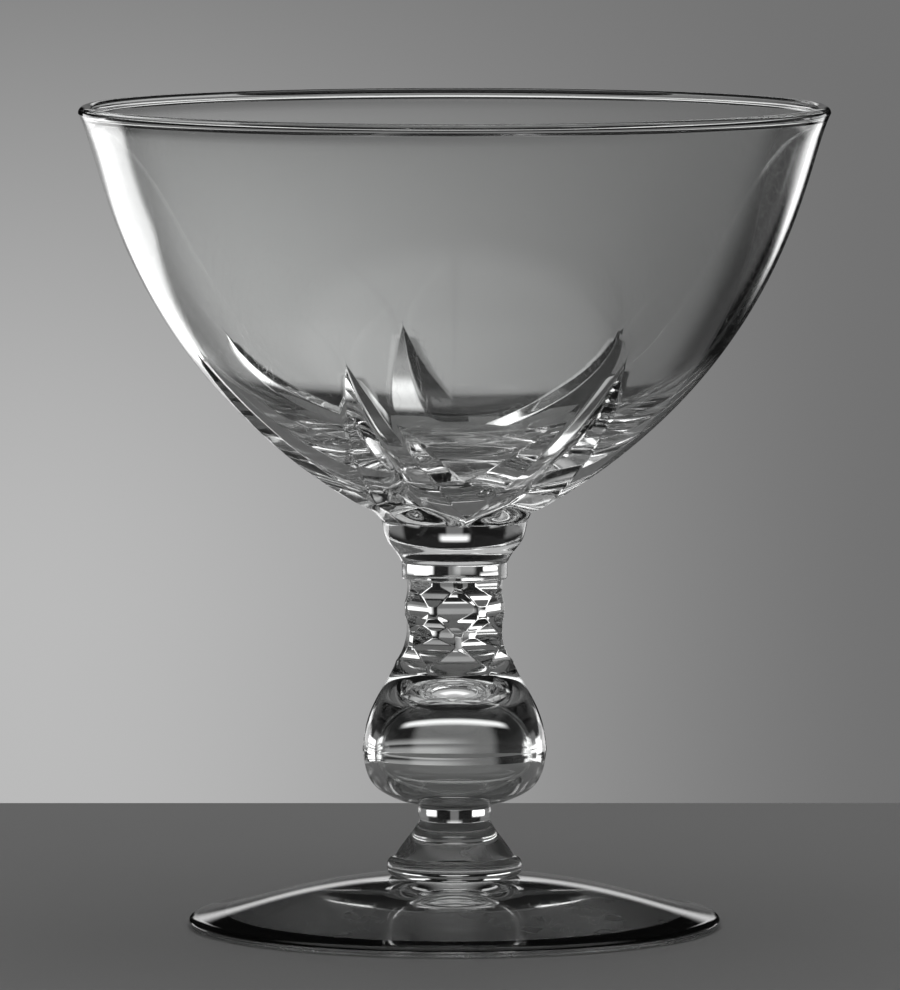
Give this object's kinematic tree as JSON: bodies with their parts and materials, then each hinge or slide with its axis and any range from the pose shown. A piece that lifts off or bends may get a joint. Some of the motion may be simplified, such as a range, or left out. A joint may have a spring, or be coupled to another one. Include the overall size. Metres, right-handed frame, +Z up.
{
  "type": "sherbet glass",
  "caption": "Stemmed clear crystal sherbet glass: wide bowl with leaf-shaped cut flutes, faceted neck, hollow bulb stem and round domed foot.",
  "frame": {"origin": "centre of the foot's resting plane, on the glass's own axis", "axes": "+Z up along the stem, +X to the right and +Y away from the viewer in the picture"},
  "size_m": [0.0988, 0.0988, 0.1083],
  "materials": {
    "bowl_crystal": "fire-polished clear crystal with polished cuts",
    "stem_crystal": "fire-polished clear crystal with polished facets",
    "foot_crystal": "fire-polished clear crystal with light wear on the resting ring"
  },
  "bodies": {
    "root": {"bowl": "bowl_crystal", "bowl_button": "stem_crystal", "neck_ring": "stem_crystal", "faceted_neck": "stem_crystal", "hollow_bulb": "stem_crystal", "lower_collar": "stem_crystal", "stem_flare": "stem_crystal", "foot_wafer": "foot_crystal", "foot": "foot_crystal"}
  },
  "joints": []
}
